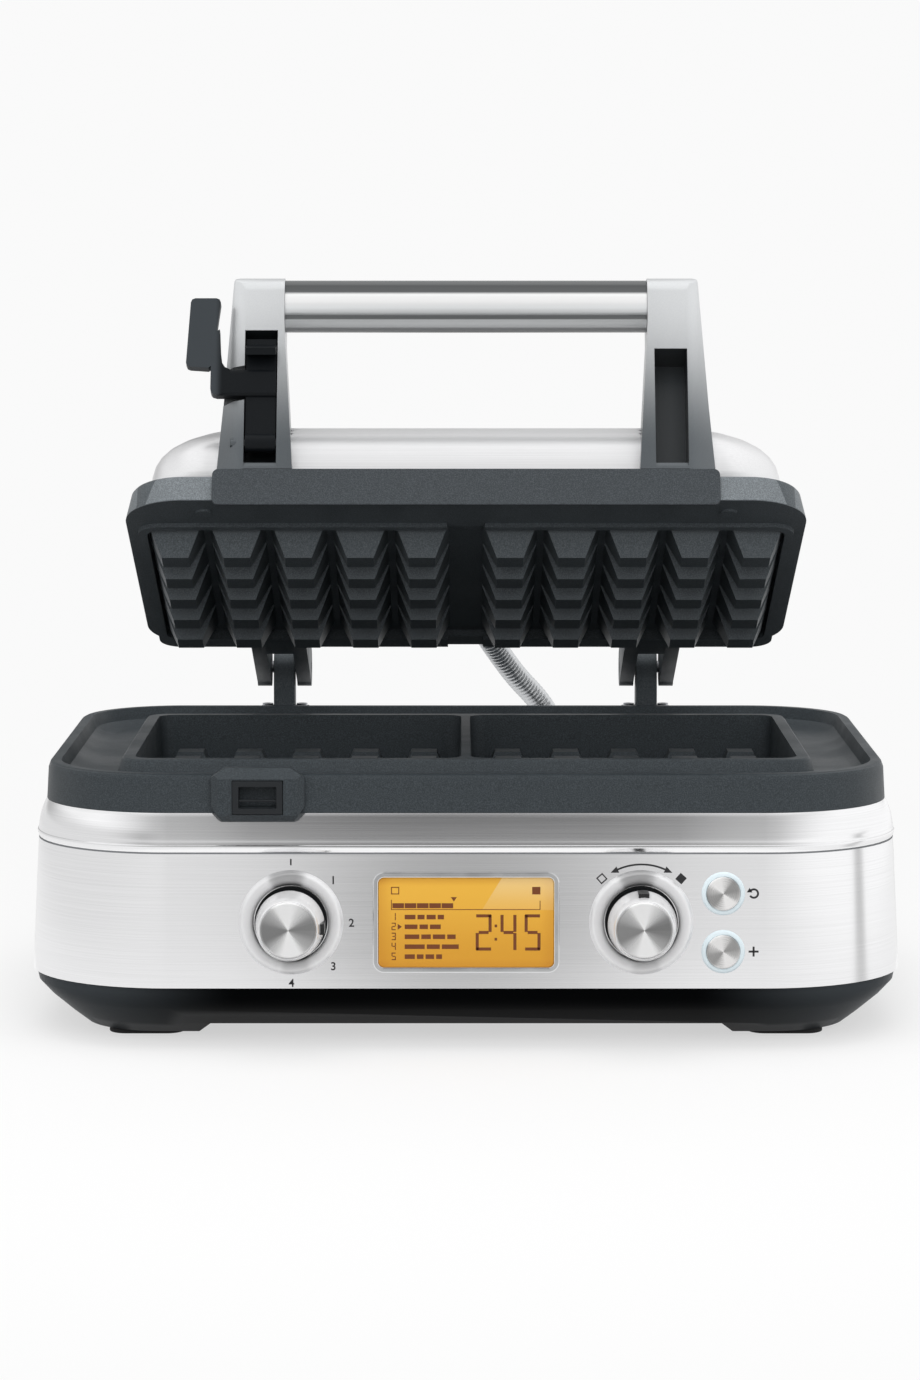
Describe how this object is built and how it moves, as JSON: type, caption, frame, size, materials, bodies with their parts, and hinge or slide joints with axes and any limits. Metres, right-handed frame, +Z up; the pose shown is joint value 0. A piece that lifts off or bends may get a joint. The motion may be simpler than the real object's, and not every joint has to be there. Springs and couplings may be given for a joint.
{
  "type": "waffle maker",
  "caption": "Countertop waffle maker with a batter moat round its lower plate, a domed lid on rear hinges, a bar handle with a flip latch, and a front panel with dials, buttons and a display.",
  "frame": {"origin": "middle of the footprint, on the table under the feet", "axes": "+Z up, -Y towards the controls at the front, X from the user's left to right"},
  "size_m": [0.393, 0.3315, 0.3378],
  "materials": {
    "black_plastic": "satin",
    "rubber_feet": "matt",
    "zinc_fixings": "zinc plated",
    "panel_steel": "brushed",
    "plate_cast": "dark grainy non-stick coating",
    "heater_steel": "drawn tube",
    "shield_sheet": "mill",
    "frame_chrome": "polished",
    "display_glass": "clear",
    "display_amber": "lit",
    "circuit_board": "solder mask",
    "spun_aluminium": "spun",
    "halo_clear": "lit",
    "dome_steel": "polished",
    "arm_cast": "satin metallic",
    "grip_steel": "polished",
    "latch_plastic": "satin",
    "sleeve_steel": "wound sleeve"
  },
  "bodies": {
    "base": {"base_tray": "black_plastic", "foot_pads": "rubber_feet", "tray_screws": "zinc_fixings", "chassis_posts": "zinc_fixings", "side_panel": "panel_steel", "shoulder_cover": "panel_steel", "lower_plate": "plate_cast", "lower_heater": "heater_steel", "lower_heat_shield": "shield_sheet", "lower_sensor": "zinc_fixings", "catch_insert": "latch_plastic", "display_frame": "frame_chrome", "display_lens": "display_glass", "lcd_module": "display_amber", "control_board": "circuit_board", "board_spacers": "zinc_fixings", "mode_dial_ring": "spun_aluminium", "shade_dial_ring": "spun_aluminium", "mode_encoder": "black_plastic", "shade_encoder": "black_plastic", "button_halos": "halo_clear", "button_switches": "black_plastic", "power_board": "circuit_board", "cord_gland": "black_plastic", "conduit_base_gland": "black_plastic", "hinge_posts": "plate_cast", "hinge_post_screws": "zinc_fixings", "wiring_conduit": "sleeve_steel"},
    "mode_dial": {"mode_knob": "spun_aluminium", "mode_knob_face": "spun_aluminium", "mode_shaft": "zinc_fixings"},
    "shade_dial": {"shade_knob": "spun_aluminium", "shade_knob_face": "spun_aluminium", "shade_shaft": "zinc_fixings"},
    "upper_key": {"upper_button": "spun_aluminium"},
    "lower_key": {"lower_button": "spun_aluminium"},
    "lid": {"upper_plate": "plate_cast", "upper_heater": "heater_steel", "upper_heat_shield": "shield_sheet", "upper_sensor": "zinc_fixings", "lid_cover": "dome_steel", "handle_bracket": "plate_cast", "handle_arm_left": "arm_cast", "handle_arm_right": "arm_cast", "handle_grip": "grip_steel", "grip_rod": "zinc_fixings", "lid_hinges": "plate_cast", "lid_hinge_screws": "zinc_fixings", "hinge_pins": "zinc_fixings", "conduit_lid_gland": "black_plastic", "latch_pin": "zinc_fixings"},
    "latch": {"latch_lever": "latch_plastic"}
  },
  "joints": [
    {"name": "lid_hinge", "type": "hinge", "parent": "base", "child": "lid", "pos_m": [0, 0.15005, 0.1402], "axis": [-1, 0, 0], "range_deg": [-25, 70], "deforming": ["wiring_conduit"]},
    {"name": "latch_hinge", "type": "hinge", "parent": "lid", "child": "latch", "pos_m": [-0.0915, -0.08717, 0.26538], "axis": [1, 0, 0], "range_deg": [0, 150]},
    {"name": "mode_dial_turn", "type": "hinge", "parent": "base", "child": "mode_dial", "pos_m": [-0.077, -0.13214, 0.0572], "axis": [0, -0.9987, 0.0517], "range_deg": [-180, 90]},
    {"name": "shade_dial_turn", "type": "hinge", "parent": "base", "child": "shade_dial", "pos_m": [0.077, -0.13214, 0.0572], "axis": [0, -0.9987, 0.0517], "range_deg": [-140, 140]},
    {"name": "upper_key_press", "type": "slide", "parent": "base", "child": "upper_key", "axis": [0, 0.9987, -0.0517], "range_m": [0, 0.0012], "stiffness_N_per_m": 600, "springref_m": -0.0005},
    {"name": "lower_key_press", "type": "slide", "parent": "base", "child": "lower_key", "axis": [0, 0.9987, -0.0517], "range_m": [0, 0.0012], "stiffness_N_per_m": 600, "springref_m": -0.0005}
  ]
}
